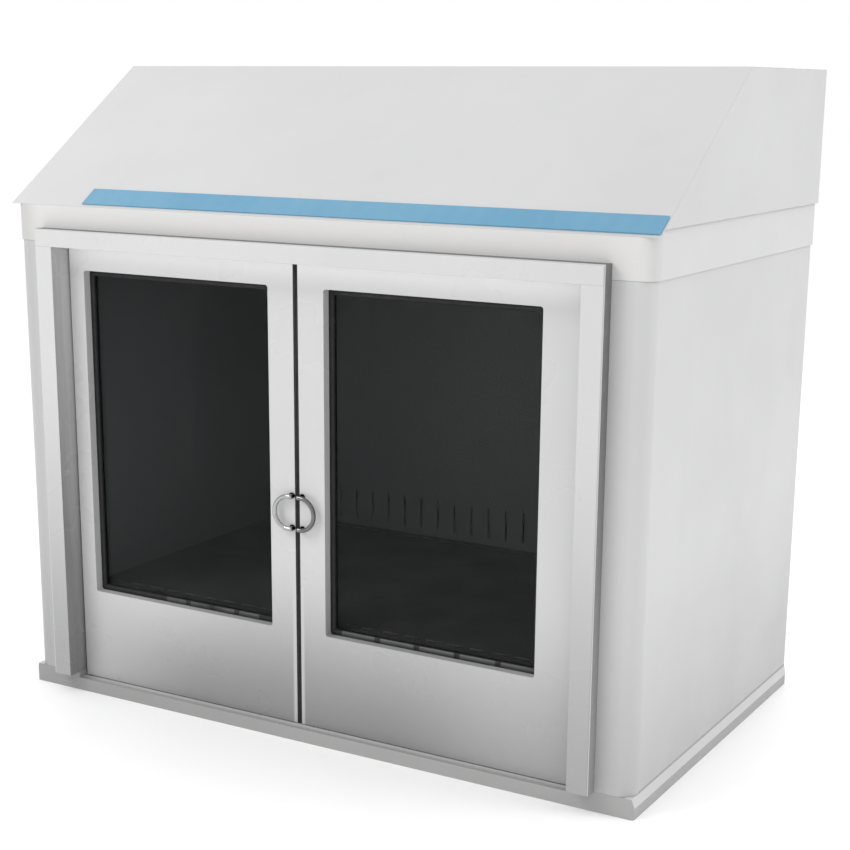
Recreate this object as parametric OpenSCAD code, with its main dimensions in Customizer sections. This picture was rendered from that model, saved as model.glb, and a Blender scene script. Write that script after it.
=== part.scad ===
// Ultraviolet garment steriliser cabinet: a floor-standing sheet-metal cabinet with a
// sloped hood, a proud door portal with two recessed glazed doors, a hanging chamber
// above a low plant bay, and a lamp, fan and filter deck under the hood.
// Millimetres. +Z is up, -Y is the front. The origin is on the floor, midway between
// the two sides and midway between the front and back faces of the body.

/* [Cabinet] */
// Overall width, across the hood
cabinet_w = 1816; // [1790:2:1840]
// Depth from the front face of the body to its back face
cabinet_d = 1070; // [1040:10:1100]
// Overall height, floor to hood top
cabinet_h = 1668; // [1640:4:1720]
// Height of the plinth
plinth_h = 50; // [40:1:50]
// Height of the threshold, where the plinth is cut down under the doors
threshold_h = 35; // [31:1:35]
// Height of the joint between side panels and header band
seam_z = 1222; // [1216:1:1226]
// Height of the joint between header band and hood sides
hood_z = 1330; // [1324:1:1336]
// Height of the fold at the foot of the slope
slope_foot_z = 1315; // [1310:1:1322]
// Distance from the front face back to the top of the slope
slope_setback = 507; // [470:1:520]
// Radius of the upright front corners
corner_r = 40; // [30:1:45]
// Thickness of the outer sheet metal
sheet_t = 1.5; // [1.2:0.1:2]
// Thickness of the chamber lining
liner_t = 1.2; // [1:0.1:1.5]

/* [Door portal] */
// Half width of the portal, outside its seal
portal_x = 802; // [796:1:806]
// Height of the top of the portal
portal_top_z = 1257; // [1254:1:1260]
// Width of the portal's uprights
portal_w = 52; // [50:1:54]
// Height of the portal's head
portal_head_h = 42; // [38:1:42]
// How far the portal stands out from the front face
portal_proud = 36; // [30:1:40]
// Thickness of the black seal round the portal
portal_seal_t = 3; // [2:0.5:4]

/* [Doors] */
// Position of the meeting line of the two doors, from the middle of the cabinet
doors_x = -33; // [-40:1:-28]
// Distance of the door faces behind the front face of the body
door_recess = 26; // [22:1:28]
// Gap between a jamb and the hinged edge of its leaf
hinge_gap = 5; // [5:0.5:6]
// Thickness of a door leaf
leaf_t = 36; // [34:1:37]
// Height of the bottom edge of the doors
leaf_z0 = 38; // [37:1:40]
// Height of the top edge of the doors
leaf_z1 = 1208; // [1200:1:1208]
// Gap between the two leaves, filled by their edge strips
meeting_gap = 14; // [11:0.5:14]
// Width of the left leaf's hinge stile; the right leaf makes up the difference
hinge_stile = 47; // [46:1:52]
// Width of the meeting stile beside a window
meeting_stile = 74; // [70:1:80]
// Height of the lower edge of the windows
window_z0 = 285; // [280:1:295]
// Height of the upper edge of the windows
window_z1 = 1150; // [1140:1:1154]
// Radius of the window corners
window_r = 7; // [5:1:10]

/* [Handles] */
// Height of the middle of the handles
handle_z = 594; // [560:1:660]
// Radius of the handle's bow
handle_r = 41; // [34:1:44]
// Radius of the handle's bar
handle_bar_r = 5.5; // [4:0.5:6]
// Stand-off of the bar from the door
handle_off = 15; // [14:1:22]

/* [Light strip] */
// Height of the light strip, up the slope
strip_w = 61; // [50:1:66]
// Thickness of the light strip
strip_t = 4; // [3:0.5:5]

/* [Chamber] */
// Height of the chamber floor
floor_z = 292; // [290:1:294]
// Height of the chamber ceiling
ceiling_z = 1212; // [1210:1:1214]
// Position of the chamber's back wall
chamber_back_y = 440; // [420:1:450]
// Radius of the hanging rail
rail_r = 12.5; // [11:0.5:14]
// Height of the hanging rail
rail_z = 1118; // [1110:1:1124]

/* [Fan] */
// Radius of the fan wheel
fan_r = 105; // [95:1:108]
// Number of fan blades
fan_blades = 7; // [5:1:9]

/* [Hidden] */
$fn = 64;

// Faces of the body
front_y = -cabinet_d / 2;
back_y = cabinet_d / 2;
hood_x = cabinet_w / 2;
band_x = hood_x - 8;
side_x = hood_x - 13;
plinth_x = side_x + 7;
plinth_rail = 62;
plinth_wall = 2;
// Bevel along the top edge of the plinth's sides
bevel_in = 6;
bevel_h = 22;
panel_gap = 0.4;

// Slope of the hood
slope_top_y = front_y + slope_setback;
slope_a = atan2(cabinet_h - slope_foot_z, slope_setback);
slope_len = norm([cabinet_h - slope_foot_z, slope_setback]);
// Where the inside of the slope meets the inside of the hood top
inner_top_y = slope_top_y + sheet_t * tan(slope_a / 2);
// Fitting gap between the slope and the sheets under it
roof_gap = 0.1;

// Door portal
jamb_x1 = portal_x - portal_seal_t;
jamb_x0 = jamb_x1 - portal_w;
head_z1 = portal_top_z - portal_seal_t;
head_z0 = head_z1 - portal_head_h;
portal_front_y = front_y - portal_proud;
bulkhead_y = front_y + 70;
bulkhead_t = 2;
portal_wall = 2;
jamb_z0 = plinth_h;

// Doors. A leaf is sketched as the left one, with x = 0 on the meeting line: left_x0 and
// right_x0 are the hinged edges of the two leaves, leaf_x1 is the meeting edge of either
leaf_face_y = front_y + door_recess;
leaf_back_y = leaf_face_y + leaf_t;
left_x0 = -(jamb_x0 - hinge_gap) - doors_x;
right_x0 = -(jamb_x0 - hinge_gap) + doors_x;
leaf_x1 = -meeting_gap / 2;
window_x0 = left_x0 + hinge_stile;
window_x1 = leaf_x1 - meeting_stile;
leaf_wall = 2;
reveal_d = 24;
glass_t = 5;
glass_y = leaf_face_y + reveal_d + 4;
pivot_in = 12;
pivot_x = jamb_x0 - hinge_gap - pivot_in;
pivot_y = leaf_face_y + 10;
pivot_r = 6;
bush_clear = 0.05;
lower_flange_t = 2;
bush_r = 9;
seal_w = 12;
seal_land = bulkhead_y - 0.5;

// Chamber
chamber_x = jamb_x0 - 2;
mouth_x = pivot_x - 28;
mullion_x = 45;
mouth_z0 = window_z0;
mouth_z1 = window_z1 + 10;
cover_top_z = mouth_z0 - 31;

// Lamps
lamp_y = [-250, 230];
lamp_len = 895;
lamp_r = 13;
lamp_z = ceiling_z - 38;

// Fan on the chamber ceiling
fan_y = 40;
fan_z0 = ceiling_z + liner_t;
fan_h = 120;
fan_port_r = fan_r + 4;

// Service panel in the back
service_w = 520;
service_h = 300;
service_z = 560;
screw_r = 2;
gland_x = 640;
gland_z = 120;
switch_x = 520;
switch_z = 120;

// ---- Shared shapes ----

// Rectangle from one corner to the other
module rect(x0, y0, x1, y1) {
    translate([x0, y0]) square([x1 - x0, y1 - y0]);
}

// Box from one corner to the other
module box(lo, hi) {
    translate(lo) cube(hi - lo);
}

// Rectangle with four round corners, exact arcs
module round_rect(x0, y0, x1, y1, r) {
    union() {
        rect(x0 + r, y0, x1 - r, y1);
        rect(x0, y0 + r, x1, y1 - r);
        for (cx = [x0 + r, x1 - r], cy = [y0 + r, y1 - r])
            translate([cx, cy]) circle(r = r);
    }
}

// A plate that stands in the XZ plane, from y0 to y1, cut to a 2D outline
module upright(y0, y1) {
    translate([0, y1, 0]) rotate([90, 0, 0]) linear_extrude(y1 - y0) children();
}

// A plate that stands in the YZ plane, from x0 to x1: the outline's x is y, its y is z
module side_plate(x0, x1) {
    translate([x0, 0, 0]) rotate([90, 0, 90]) linear_extrude(x1 - x0) children();
}

// Plan outline of a body wrap with round front corners
module wrap_plan(x) {
    union() {
        rect(-x + corner_r, front_y, x - corner_r, back_y);
        rect(-x, front_y + corner_r, x, back_y);
        for (sx = [-1, 1])
            translate([sx * (x - corner_r), front_y + corner_r]) circle(r = corner_r);
    }
}

// Plan outline of the inside of that wrap
module wrap_inside(x, t) {
    xi = x - t;
    ri = corner_r - t;
    union() {
        rect(-xi + ri, front_y + t, xi - ri, back_y + 1);
        rect(-xi, front_y + t + ri, xi, back_y + 1);
        for (sx = [-1, 1])
            translate([sx * (xi - ri), front_y + t + ri]) circle(r = ri);
    }
}

// ---- Carcass ----

// What the bevel takes off the plinth's right side, moved w inwards and downwards
module side_bevel(w) {
    low_x = plinth_x - w;
    low_z = plinth_h - bevel_h - w;
    upright(front_y - 1, back_y + 1) polygon([
        [low_x + bevel_in, low_z - bevel_h],
        [low_x + 4 * bevel_in, low_z + 2 * bevel_h],
        [low_x - 2 * bevel_in, low_z + 2 * bevel_h]
    ]);
}

// Ring of rails under the body, w smaller all round, cut down to the threshold at the front
module plinth_ring(w) {
    difference() {
        translate([0, 0, w]) linear_extrude(plinth_h - 2 * w) difference() {
            round_rect(-plinth_x + w, front_y + w, plinth_x - w, back_y - w, 8 - w);
            rect(-plinth_x + plinth_rail - w, front_y + plinth_rail - w,
                 plinth_x - plinth_rail + w, back_y - plinth_rail + w);
        }
        for (m = [0, 1])
            mirror([m, 0, 0]) side_bevel(w);
        box([-jamb_x0 - w, front_y - 1, threshold_h - w], [jamb_x0 + w, bulkhead_y + w, plinth_h + 1]);
    }
}

// Box-section base the body stands on, with bosses for the lower pivot bushes
module plinth() {
    boss_h = 22;
    color("gainsboro") difference() {
        union() {
            difference() {
                plinth_ring(0);
                plinth_ring(plinth_wall);
            }
            for (sx = [-1, 1])
                translate([sx * pivot_x, pivot_y, threshold_h - boss_h])
                    cylinder(r = 15, h = boss_h - 1);
        }
        for (sx = [-1, 1])
            translate([sx * pivot_x, pivot_y, threshold_h - 20]) cylinder(r = bush_r, h = 21);
    }
}

// Plate that closes the plinth, flush with the floor
module base_plate() {
    color("silver")
        box([-plinth_x + plinth_rail, front_y + plinth_rail, 0],
            [plinth_x - plinth_rail, back_y - plinth_rail, plinth_wall]);
}

// Side sheet with its rounded front corner and the narrow front post beside the portal
module side_panel_plan() {
    intersection() {
        difference() {
            wrap_plan(side_x);
            wrap_inside(side_x, sheet_t);
        }
        rect(jamb_x1 + 0.5, front_y - 1, side_x + 1, back_y);
    }
}

module right_side_panel() {
    color("whitesmoke") translate([0, 0, plinth_h])
        linear_extrude(seam_z - panel_gap - plinth_h) side_panel_plan();
}

module left_side_panel() {
    color("whitesmoke") mirror([1, 0, 0]) translate([0, 0, plinth_h])
        linear_extrude(seam_z - panel_gap - plinth_h) side_panel_plan();
}

// Header: one sheet bent round the front and both sides, notched for the portal head
module header_band() {
    foot_y = front_y + sheet_t / sin(slope_a);
    foot_z = slope_foot_z - 0.1;
    color("whitesmoke") difference() {
        translate([0, 0, seam_z]) linear_extrude(hood_z - seam_z) difference() {
            wrap_plan(band_x);
            wrap_inside(band_x, sheet_t);
        }
        // Notch for the portal head
        box([-jamb_x1 - 0.5, front_y - 1, seam_z - 1],
            [jamb_x1 + 0.5, front_y + sheet_t + 1, head_z1 + 0.5]);
        // Room for the slope at the top of the front face and round the corners
        side_plate(-hood_x - 1, hood_x + 1)
            polygon([[front_y - 1, foot_z], [foot_y, foot_z],
                     [foot_y + (hood_z + 1 - foot_z) / tan(slope_a), hood_z + 1],
                     [front_y - 1, hood_z + 1]]);
    }
}

// Depth, at height z, of the edge of a sheet that fits under the slope
function under_slope(z) =
    front_y + (sheet_t + roof_gap) / sin(slope_a) + (z - slope_foot_z) / tan(slope_a);

// Outline of the inside of the hood roof, down to the joint with the header band
module hood_side_outline() {
    polygon([
        [under_slope(hood_z + 0.5), hood_z + 0.5],
        [under_slope(cabinet_h - sheet_t), cabinet_h - sheet_t],
        [back_y - sheet_t, cabinet_h - sheet_t],
        [back_y - sheet_t, hood_z + 0.5]
    ]);
}

module hood_right_side() {
    color("whitesmoke") side_plate(hood_x - sheet_t, hood_x) hood_side_outline();
}

module hood_left_side() {
    color("whitesmoke") side_plate(-hood_x, -hood_x + sheet_t) hood_side_outline();
}

// One folded sheet: the front slope and the flat top
module hood_roof() {
    color("white") side_plate(-hood_x, hood_x) polygon([
        [front_y, slope_foot_z],
        [slope_top_y, cabinet_h],
        [back_y, cabinet_h],
        [back_y, cabinet_h - sheet_t],
        [inner_top_y, cabinet_h - sheet_t],
        [front_y + sheet_t / sin(slope_a), slope_foot_z]
    ]);
}

// Back of the hood, with the outlet for the exhaust grille
module hood_back() {
    color("whitesmoke") upright(back_y - sheet_t, back_y) difference() {
        rect(-hood_x, hood_z + 0.5, hood_x, cabinet_h - sheet_t);
        rect(-210, 1440, 210, 1580);
    }
}

// Back of the body, with openings for the service cover, the gland and the switch
module back_panel() {
    color("gainsboro") difference() {
        upright(back_y - sheet_t, back_y) difference() {
            rect(-side_x + sheet_t, plinth_h, side_x - sheet_t, hood_z);
            rect(-service_w / 2, service_z, service_w / 2, service_z + service_h);
            rect(switch_x - 14, switch_z - 20, switch_x + 14, switch_z + 20);
        }
        translate([gland_x, back_y + 1, gland_z]) rotate([90, 0, 0]) cylinder(r = 10.2, h = 4);
        for (p = screw_spots())
            translate([p[0], back_y + 1, p[1]]) rotate([90, 0, 0]) cylinder(r = screw_r + 0.3, h = 4);
    }
}

// ---- Light strip along the foot of the slope ----

// Places children on the slope: x along the fold, y up the slope, z out of it
module on_slope() {
    translate([0, front_y, slope_foot_z]) rotate([slope_a, 0, 0]) translate([0, 0, strip_gap]) children();
}

strip_x0 = doors_x - 640;
strip_x1 = hood_x - 3;
strip_s0 = 9;
strip_gap = 0.05;

module light_diffuser() {
    color("skyblue") on_slope() difference() {
        box([strip_x0, strip_s0, 0], [strip_x1, strip_s0 + strip_w, strip_t]);
        box([strip_x0 + 8, strip_s0 + 9, -1], [strip_x1 - 8, strip_s0 + strip_w - 9, 2.2]);
    }
}

module light_board() {
    color("lightcyan") on_slope()
        box([strip_x0 + 10, strip_s0 + 11, 0], [strip_x1 - 10, strip_s0 + strip_w - 11, 1.6]);
}

// ---- Door portal ----

// Hollow upright member of the portal, open at both ends
module jamb() {
    translate([0, 0, jamb_z0]) linear_extrude(head_z0 - jamb_z0) difference() {
        rect(jamb_x0, portal_front_y, jamb_x1, bulkhead_y);
        rect(jamb_x0 + portal_wall, portal_front_y + portal_wall,
             jamb_x1 - portal_wall, bulkhead_y - portal_wall);
    }
}

module right_jamb() {
    color("white") jamb();
}

module left_jamb() {
    color("white") mirror([1, 0, 0]) jamb();
}

// Hollow top member; it carries the upper pivot bushes
module portal_head() {
    color("white") difference() {
        side_plate(-jamb_x1, jamb_x1) difference() {
            rect(portal_front_y, head_z0, bulkhead_y, head_z1);
            rect(portal_front_y + portal_wall, head_z0 + portal_wall,
                 bulkhead_y - portal_wall, head_z1 - portal_wall);
        }
        for (sx = [-1, 1])
            translate([sx * pivot_x, pivot_y, head_z0 - 1])
                cylinder(r = bush_r, h = portal_wall + 2);
    }
}

// Black rubber surround between the portal and the front of the body
module portal_seal() {
    color("black") upright(portal_front_y + 2, front_y - 0.2) difference() {
        rect(-portal_x, jamb_z0 + 1, portal_x, portal_top_z);
        rect(-jamb_x1, jamb_z0, jamb_x1, head_z1);
    }
}

// ---- Chamber ----

// Sheet behind the doors, with the chamber mouth
module bulkhead() {
    color("dimgray") upright(bulkhead_y, bulkhead_y + bulkhead_t) difference() {
        rect(-jamb_x0, cover_top_z, jamb_x0, ceiling_z);
        rect(-mouth_x, mouth_z0, mouth_x, mouth_z1);
    }
}

// Removable tube that stands on the chamber floor; both doors seal against it
module centre_mullion() {
    depth = 20;
    tall = mouth_z1 - floor_z;
    color("dimgray") translate([doors_x, bulkhead_y, floor_z]) linear_extrude(tall) difference() {
        rect(-mullion_x, 0, mullion_x, depth);
        rect(-mullion_x + portal_wall, portal_wall, mullion_x - portal_wall, depth - portal_wall);
    }
}

// Screwed cover in front of the plant bay
module plant_cover() {
    color("gray") upright(bulkhead_y, bulkhead_y + sheet_t) difference() {
        rect(-jamb_x0, threshold_h - 10, jamb_x0, cover_top_z - 0.5);
        for (ix = [-3:3], iz = [0:4])
            translate([doors_x + ix * 90, 110 + iz * 18]) square([60, 5], center = true);
    }
}

module chamber_side() {
    translate([chamber_x, 0, 0])
        box([0, bulkhead_y + bulkhead_t, floor_z - 4], [liner_t, chamber_back_y, ceiling_z]);
}

module chamber_right_wall() {
    color("dimgray") chamber_side();
}

module chamber_left_wall() {
    color("dimgray") mirror([1, 0, 0]) chamber_side();
}

// Back lining with two rows of upright air slots
module chamber_back_wall() {
    color("dimgray") upright(chamber_back_y, chamber_back_y + liner_t) difference() {
        rect(-chamber_x - liner_t, floor_z - 4, chamber_x + liner_t, ceiling_z);
        for (ix = [-11:11], z = [360, 1060])
            translate([ix * 58, z]) square([8, 90], center = true);
    }
}

// Ceiling with the fan's port
module chamber_ceiling() {
    color("dimgray") difference() {
        box([-chamber_x - liner_t, bulkhead_y + bulkhead_t, ceiling_z],
            [chamber_x + liner_t, chamber_back_y + liner_t, ceiling_z + liner_t]);
        translate([0, fan_y, ceiling_z - 1]) cylinder(r = fan_port_r, h = 4);
    }
}

// Slotted floor of the chamber: a row of air slots along the front and back
module chamber_floor() {
    slot_w = 46;
    pitch = 62;
    color("gray") difference() {
        box([-chamber_x, bulkhead_y + bulkhead_t + 0.5, floor_z - 3], [chamber_x, chamber_back_y, floor_z]);
        for (ix = [-11:11], y = [bulkhead_y + 40, chamber_back_y - 40])
            translate([ix * pitch - slot_w / 2, y - 4, floor_z - 4]) cube([slot_w, 8, 5]);
    }
}

// Tube that the garments hang from
module hanging_rail() {
    color("silver") translate([-chamber_x + 4, 0, rail_z]) rotate([0, 90, 0]) difference() {
        cylinder(r = rail_r, h = 2 * chamber_x - 8);
        translate([0, 0, -1]) cylinder(r = rail_r - 1.5, h = 2 * chamber_x - 6);
    }
}

// Flanged cups that hold the rail's ends
module rail_sockets() {
    color("silver") for (sx = [-1, 1]) mirror([sx > 0 ? 1 : 0, 0, 0])
        translate([-chamber_x, 0, rail_z]) rotate([0, 90, 0]) difference() {
            union() {
                cylinder(r = 28, h = 3);
                cylinder(r = rail_r + 4, h = 22);
            }
            translate([0, 0, 4]) cylinder(r = rail_r, h = 20);
        }
}

// ---- Lamps ----

// Glass tube with a metal cap at each end
module uv_lamp(y) {
    translate([-lamp_len / 2, y, lamp_z]) rotate([0, 90, 0]) union() {
        cylinder(r = lamp_r - 0.8, h = lamp_len);
        cylinder(r = lamp_r, h = 18);
        translate([0, 0, lamp_len - 18]) cylinder(r = lamp_r, h = 18);
    }
}

module front_uv_lamp() {
    color("lavender") uv_lamp(lamp_y[0]);
}

module rear_uv_lamp() {
    color("lavender") uv_lamp(lamp_y[1]);
}

// End holders screwed up to the ceiling
module lamp_holders() {
    color("white") for (y = lamp_y, sx = [-1, 1])
        translate([sx * (lamp_len / 2 + 8), y, 0]) box([-8, -17, lamp_z - 20], [8, 17, ceiling_z]);
}

// Folded reflectors above the tubes
module lamp_reflectors() {
    half = lamp_len / 2 - 4;
    color("silver") for (y = lamp_y) side_plate(-half, half) polygon([
        [y - 58, lamp_z + 4], [y - 26, ceiling_z - 2], [y + 26, ceiling_z - 2], [y + 58, lamp_z + 4],
        [y + 60, lamp_z + 4], [y + 27, ceiling_z], [y - 27, ceiling_z], [y - 60, lamp_z + 4]
    ]);
}

// Wire guards: two long wires joined by shorter bars under each tube
module lamp_guards() {
    wire_r = 1.6;
    guard_z = lamp_z - 22;
    guard_y = 66;
    half = lamp_len / 2 - 12;
    color("silver") for (y = lamp_y) union() {
        for (dy = [-18, 18])
            translate([-half, y + dy, guard_z]) rotate([0, 90, 0])
                cylinder(r = wire_r, h = 2 * half, $fn = 8);
        for (ix = [-4:4])
            translate([ix * 100, y - guard_y, guard_z + wire_r]) rotate([-90, 0, 0])
                cylinder(r = wire_r, h = 2 * guard_y, $fn = 8);
        for (ix = [-4, 0, 4], dy = [-guard_y, guard_y])
            translate([ix * 100, y + dy, guard_z])
                cylinder(r = wire_r, h = ceiling_z - guard_z, $fn = 8);
    }
}

// ---- Plant ----

// Two ballasts on the ceiling, one behind each end of the lamps
module ballasts() {
    color("gainsboro") for (sx = [-1, 1]) translate([sx * 420, -200, ceiling_z + liner_t]) union() {
        box([-110, -22, 0], [110, 22, 2]);
        box([-90, -20, 0], [90, 20, 34]);
    }
}

// Timer and supply box: a folded cover over the ceiling, with a cable hole in one end
module control_box() {
    color("silver") translate([560, 200, ceiling_z + liner_t]) difference() {
        box([-120, -90, 0], [120, 90, 80]);
        box([-120 + sheet_t, -90 + sheet_t, -1], [120 - sheet_t, 90 - sheet_t, 80 - sheet_t]);
        translate([-121, 0, 40]) rotate([0, 90, 0]) cylinder(r = 9, h = 10);
    }
}

// Round duct body with three arms that carry the motor
module fan_housing() {
    color("darkgray") translate([0, fan_y, fan_z0]) union() {
        difference() {
            union() {
                cylinder(r = fan_port_r + 3, h = fan_h);
                cylinder(r = fan_port_r + 22, h = 2);
            }
            translate([0, 0, -1]) cylinder(r = fan_port_r, h = fan_h + 2);
        }
        difference() {
            for (a = [0, 120, 240])
                rotate([0, 0, a]) box([34, -5, fan_h - 16], [fan_port_r + 1, 5, fan_h - 4]);
            translate([0, 0, fan_h - 20]) cylinder(r = 38, h = 20);
        }
    }
}

// Motor in the middle of the arms, with the shaft's bore in its lower face
module fan_motor() {
    color("dimgray") translate([0, fan_y, fan_z0 + fan_h - 50]) difference() {
        cylinder(r = 38, h = 50);
        translate([0, 0, -1]) cylinder(r = 5 + bush_clear, h = 31);
    }
}

// Wheel with pitched blades on a hub, and its shaft up into the motor
module fan_wheel() {
    hub_r = 32;
    wheel_z = 12;
    wheel_h = 44;
    color("darkslategray") translate([0, fan_y, fan_z0 + wheel_z]) union() {
        cylinder(r = hub_r, h = wheel_h);
        cylinder(r = 5, h = fan_h - 50 - wheel_z + 25);
        intersection() {
            for (i = [0:fan_blades - 1])
                rotate([0, 0, i * 360 / fan_blades]) translate([hub_r - 4, 0, wheel_h / 2])
                    rotate([38, 0, 0]) box([0, -26, -1.5], [fan_r - hub_r + 10, 26, 1.5]);
            cylinder(r = fan_r, h = wheel_h);
        }
    }
}

// Carbon filter box above the fan
module filter_cartridge() {
    color("slategray") translate([0, fan_y, fan_z0 + fan_h]) difference() {
        box([-170, -150, 0], [170, 150, 70]);
        for (ix = [-5:5])
            box([ix * 28 - 9, -130, 52], [ix * 28 + 9, 130, 71]);
    }
}

// ---- Back fittings ----

// Louvred outlet in the hood's back
module exhaust_grille() {
    color("gray") union() {
        upright(back_y, back_y + 14) difference() {
            rect(-225, 1425, 225, 1595);
            rect(-205, 1445, 205, 1575);
        }
        for (iz = [0:6])
            translate([-206, back_y + 7.5, 1456 + iz * 18]) rotate([-35, 0, 0])
                box([0, -7, -1], [412, 7, 1]);
    }
}

// Screwed cover over the service opening, with pressed louvres at its foot
module service_cover() {
    color("gainsboro") upright(back_y, back_y + sheet_t) difference() {
        round_rect(-service_w / 2 - 20, service_z - 20, service_w / 2 + 20, service_z + service_h + 20, 8);
        for (ix = [-4:4], iz = [0:3])
            translate([ix * 52, service_z + 40 + iz * 16]) square([36, 5], center = true);
        for (p = screw_spots()) translate(p) circle(r = screw_r + 0.3);
    }
}

function screw_spots() = [
    for (ix = [-1, 0, 1], iz = [0, 1])
        [ix * (service_w / 2 + 10), service_z - 10 + iz * (service_h + 20)]
];

module cover_screws() {
    color("silver") for (p = screw_spots())
        translate([p[0], back_y + sheet_t, p[1]]) rotate([-90, 0, 0]) difference() {
            union() {
                cylinder(r = 4.6, h = 2.4);
                translate([0, 0, -12]) cylinder(r = screw_r, h = 13);
            }
            translate([-3.4, -0.6, 1.2]) cube([6.8, 1.2, 2]);
            translate([-0.6, -3.4, 1.2]) cube([1.2, 6.8, 2]);
        }
}

// Gland for the supply cable: a flanged body with a clear bore and a hexagon nut inside
module cable_gland() {
    color("black") translate([gland_x, back_y, gland_z]) rotate([-90, 0, 0]) difference() {
        union() {
            cylinder(r = 14, h = 6);
            cylinder(r = 11.5, h = 22);
            translate([0, 0, -9]) cylinder(r = 10, h = 10);
            translate([0, 0, -8 - sheet_t]) cylinder(r = 15, h = 8, $fn = 6);
        }
        translate([0, 0, -20]) cylinder(r = 5.5, h = 50);
    }
}

// Frame of the supply switch, with trunnion bores for the rocker
module switch_bezel() {
    color("black") translate([switch_x, back_y, switch_z]) difference() {
        union() {
            box([-17, 0, -23], [17, 3, 23]);
            box([-14, -16, -20], [14, 0, 20]);
        }
        box([-10.5, -12, -16], [10.5, 4, 16]);
        translate([-13, -3, 0]) rotate([0, 90, 0]) cylinder(r = 2 + bush_clear, h = 26);
    }
}

// Rocker at rest in its off position, turning on two stub pins
module power_rocker() {
    color("firebrick") translate([switch_x, back_y - 3, switch_z]) union() {
        rotate([8, 0, 0]) difference() {
            translate([-10, 0, 0]) rotate([0, 90, 0]) intersection() {
                translate([0, -1, 0]) cylinder(r = 14.5, h = 20);
                translate([-14.5, -3, 0]) cube([29, 10, 20]);
            }
            translate([-11, 26, 0]) rotate([0, 90, 0]) cylinder(r = 20.5, h = 22);
        }
        translate([-12.5, 0, 0]) rotate([0, 90, 0]) cylinder(r = 2, h = 25);
    }
}

// ---- Door hardware on the carcass ----

// Flanged bushes: two in the plinth, two in the portal head
module pivot_bushes() {
    color("goldenrod") for (sx = [-1, 1]) translate([sx * pivot_x, pivot_y, 0]) {
        difference() {
            union() {
                translate([0, 0, threshold_h - 20]) cylinder(r = bush_r, h = 20);
                translate([0, 0, threshold_h]) cylinder(r = 11.5, h = lower_flange_t);
            }
            translate([0, 0, threshold_h - 17]) cylinder(r = pivot_r + bush_clear, h = 30);
        }
        difference() {
            union() {
                translate([0, 0, head_z0]) cylinder(r = bush_r, h = 14);
                translate([0, 0, head_z0 - 3]) cylinder(r = 11.5, h = 3);
            }
            translate([0, 0, head_z0 - 4]) cylinder(r = pivot_r + bush_clear, h = 30);
        }
    }
}

// Magnetic catches on the mullion, one pair at the top and one at the bottom
module catch_magnets() {
    color("dimgray") for (sx = [-1, 1], z = [mouth_z0 + 60, mouth_z1 - 60])
        translate([doors_x + sx * 18, 0, z])
            box([-9, bulkhead_y - 5, -24], [9, bulkhead_y, 24]);
}

// ---- Door leaves: sketched as the left one, mirrored for the right one; x0 is the hinged edge ----

module place_left() {
    translate([doors_x, 0, 0]) children();
}

module place_right() {
    translate([doors_x, 0, 0]) mirror([1, 0, 0]) children();
}

// Window outline grown outwards by g
module window_outline(g) {
    round_rect(window_x0 - g, window_z0 - g, window_x1 + g, window_z1 + g, max(window_r + g, 1));
}

// Folded tray: front skin, four edges and the reveal round the window
module leaf(x0) {
    difference() {
        union() {
            difference() {
                box([x0, leaf_face_y, leaf_z0], [leaf_x1, leaf_back_y - 1.5, leaf_z1]);
                box([x0 + leaf_wall, leaf_face_y + leaf_wall, leaf_z0 + leaf_wall],
                    [leaf_x1 - leaf_wall, leaf_back_y, leaf_z1 - leaf_wall]);
            }
            upright(leaf_face_y, leaf_face_y + reveal_d) window_outline(leaf_wall);
        }
        upright(leaf_face_y - 1, leaf_face_y + reveal_d + 1) window_outline(0);
        for (z = [leaf_z0 - 1, leaf_z1 - leaf_wall - 1])
            translate([x0 + pivot_in, pivot_y, z]) cylinder(r = pivot_r, h = leaf_wall + 2);
    }
}

// Back skin of the leaf
module leaf_liner(x0) {
    upright(leaf_back_y - 1.5, leaf_back_y) difference() {
        rect(x0, leaf_z0, leaf_x1, leaf_z1);
        window_outline(-6);
    }
}

module leaf_glass() {
    upright(glass_y, glass_y + glass_t) window_outline(3);
}

// Black channel gasket round the glass
module leaf_gasket() {
    difference() {
        upright(leaf_face_y + reveal_d, leaf_back_y - 1.5) difference() {
            window_outline(10);
            window_outline(-15);
        }
        upright(glass_y, glass_y + glass_t) window_outline(3);
    }
}

// Compression seal round the window on the leaf's back, and the strip on its meeting edge
module leaf_seals(x0) {
    seal_x0 = x0 + 24;
    seal_x1 = -32;
    seal_z0 = mouth_z0 - 23;
    seal_z1 = mouth_z1 + 20;
    upright(leaf_back_y, seal_land) difference() {
        round_rect(seal_x0, seal_z0, seal_x1, seal_z1, 10);
        rect(seal_x0 + seal_w, seal_z0 + seal_w, seal_x1 - seal_w, seal_z1 - seal_w);
    }
    box([leaf_x1, leaf_face_y + 1.5, leaf_z0], [-0.6, leaf_back_y - 2, leaf_z1]);
}

// Half-ring bow handle on two feet
module leaf_handle() {
    centre_x = -17;
    foot_x = -12;
    bar_y = leaf_face_y - handle_off;
    translate([centre_x, bar_y, handle_z]) rotate([90, 0, 0]) rotate([0, 0, 90])
        rotate_extrude(angle = 180) translate([handle_r, 0]) circle(r = handle_bar_r, $fn = 32);
    for (sz = [-1, 1]) translate([0, 0, handle_z + sz * handle_r]) {
        translate([centre_x, bar_y, 0]) rotate([0, 90, 0]) cylinder(r = handle_bar_r, h = foot_x - centre_x);
        translate([foot_x, bar_y, 0]) sphere(r = handle_bar_r);
        translate([foot_x, leaf_face_y, 0]) rotate([90, 0, 0]) cylinder(r = handle_bar_r, h = handle_off);
        translate([foot_x - 3, leaf_face_y, 0]) rotate([90, 0, 0]) cylinder(r = 8, h = 3);
    }
}

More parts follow.
